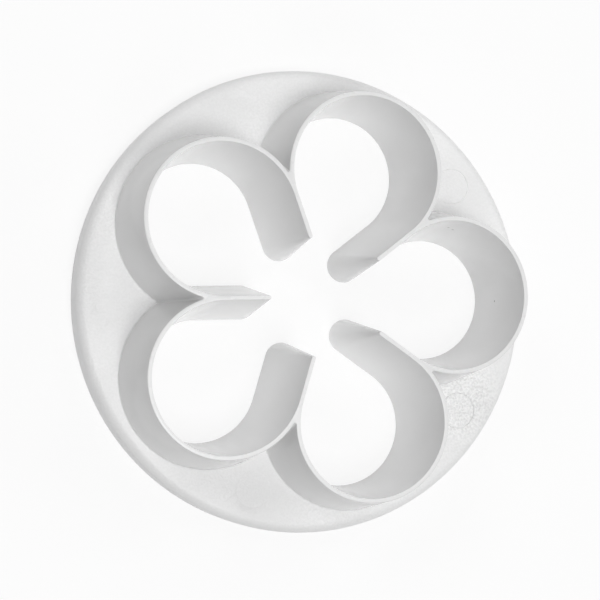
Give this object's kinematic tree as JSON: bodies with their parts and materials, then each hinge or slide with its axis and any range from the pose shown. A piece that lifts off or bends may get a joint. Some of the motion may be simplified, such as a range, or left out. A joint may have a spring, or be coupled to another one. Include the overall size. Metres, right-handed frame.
{
  "type": "five-petal flower cutter",
  "caption": "One-piece plastic cutter with thin petal-shaped walls and dividers on a round flange, for cutting flowers from rolled paste.",
  "frame": {"origin": "centre of the flange's flat underside, on the axis of the flower", "axes": "+Z out of the flange towards the cutting edges, +X through the tip of the first petal"},
  "size_m": [0.0604, 0.0604, 0.0146],
  "materials": {
    "white_plastic": "satin, finely spark-eroded moulded surface"
  },
  "bodies": {
    "root": {"flange": "white_plastic", "petal_wall_1": "white_plastic", "petal_wall_2": "white_plastic", "petal_wall_3": "white_plastic", "petal_wall_4": "white_plastic", "petal_wall_5": "white_plastic", "divider_1": "white_plastic", "divider_2": "white_plastic", "divider_3": "white_plastic", "divider_4": "white_plastic", "divider_5": "white_plastic"}
  },
  "joints": []
}
